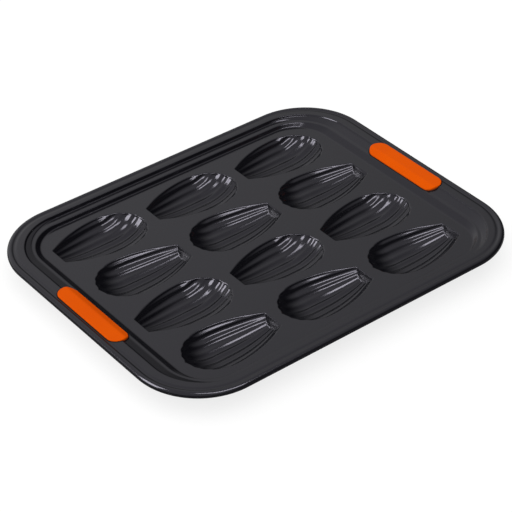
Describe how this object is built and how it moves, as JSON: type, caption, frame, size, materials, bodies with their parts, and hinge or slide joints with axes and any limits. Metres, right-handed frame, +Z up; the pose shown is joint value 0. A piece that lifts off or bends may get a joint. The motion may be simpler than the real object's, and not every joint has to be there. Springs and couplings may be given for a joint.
{
  "type": "madeleine pan",
  "caption": "Low rectangular baking pan with rows of fluted shell moulds, a stepped rim with a rolled edge, and a silicone grip at each end.",
  "frame": {"origin": "on the floor under the middle of the pan", "axes": "+X along the pan's length, towards one grip; +Y across it; +Z up, out of the moulds"},
  "size_m": [0.3632, 0.2894, 0.023],
  "materials": {
    "coated_steel": "semi-gloss dark grey non-stick coating",
    "wire_steel": "plain drawn wire",
    "silicone": "satin orange silicone"
  },
  "bodies": {
    "root": {"pan": "coated_steel", "rim_wire": "wire_steel", "grip_right": "silicone", "grip_left": "silicone"}
  },
  "joints": []
}
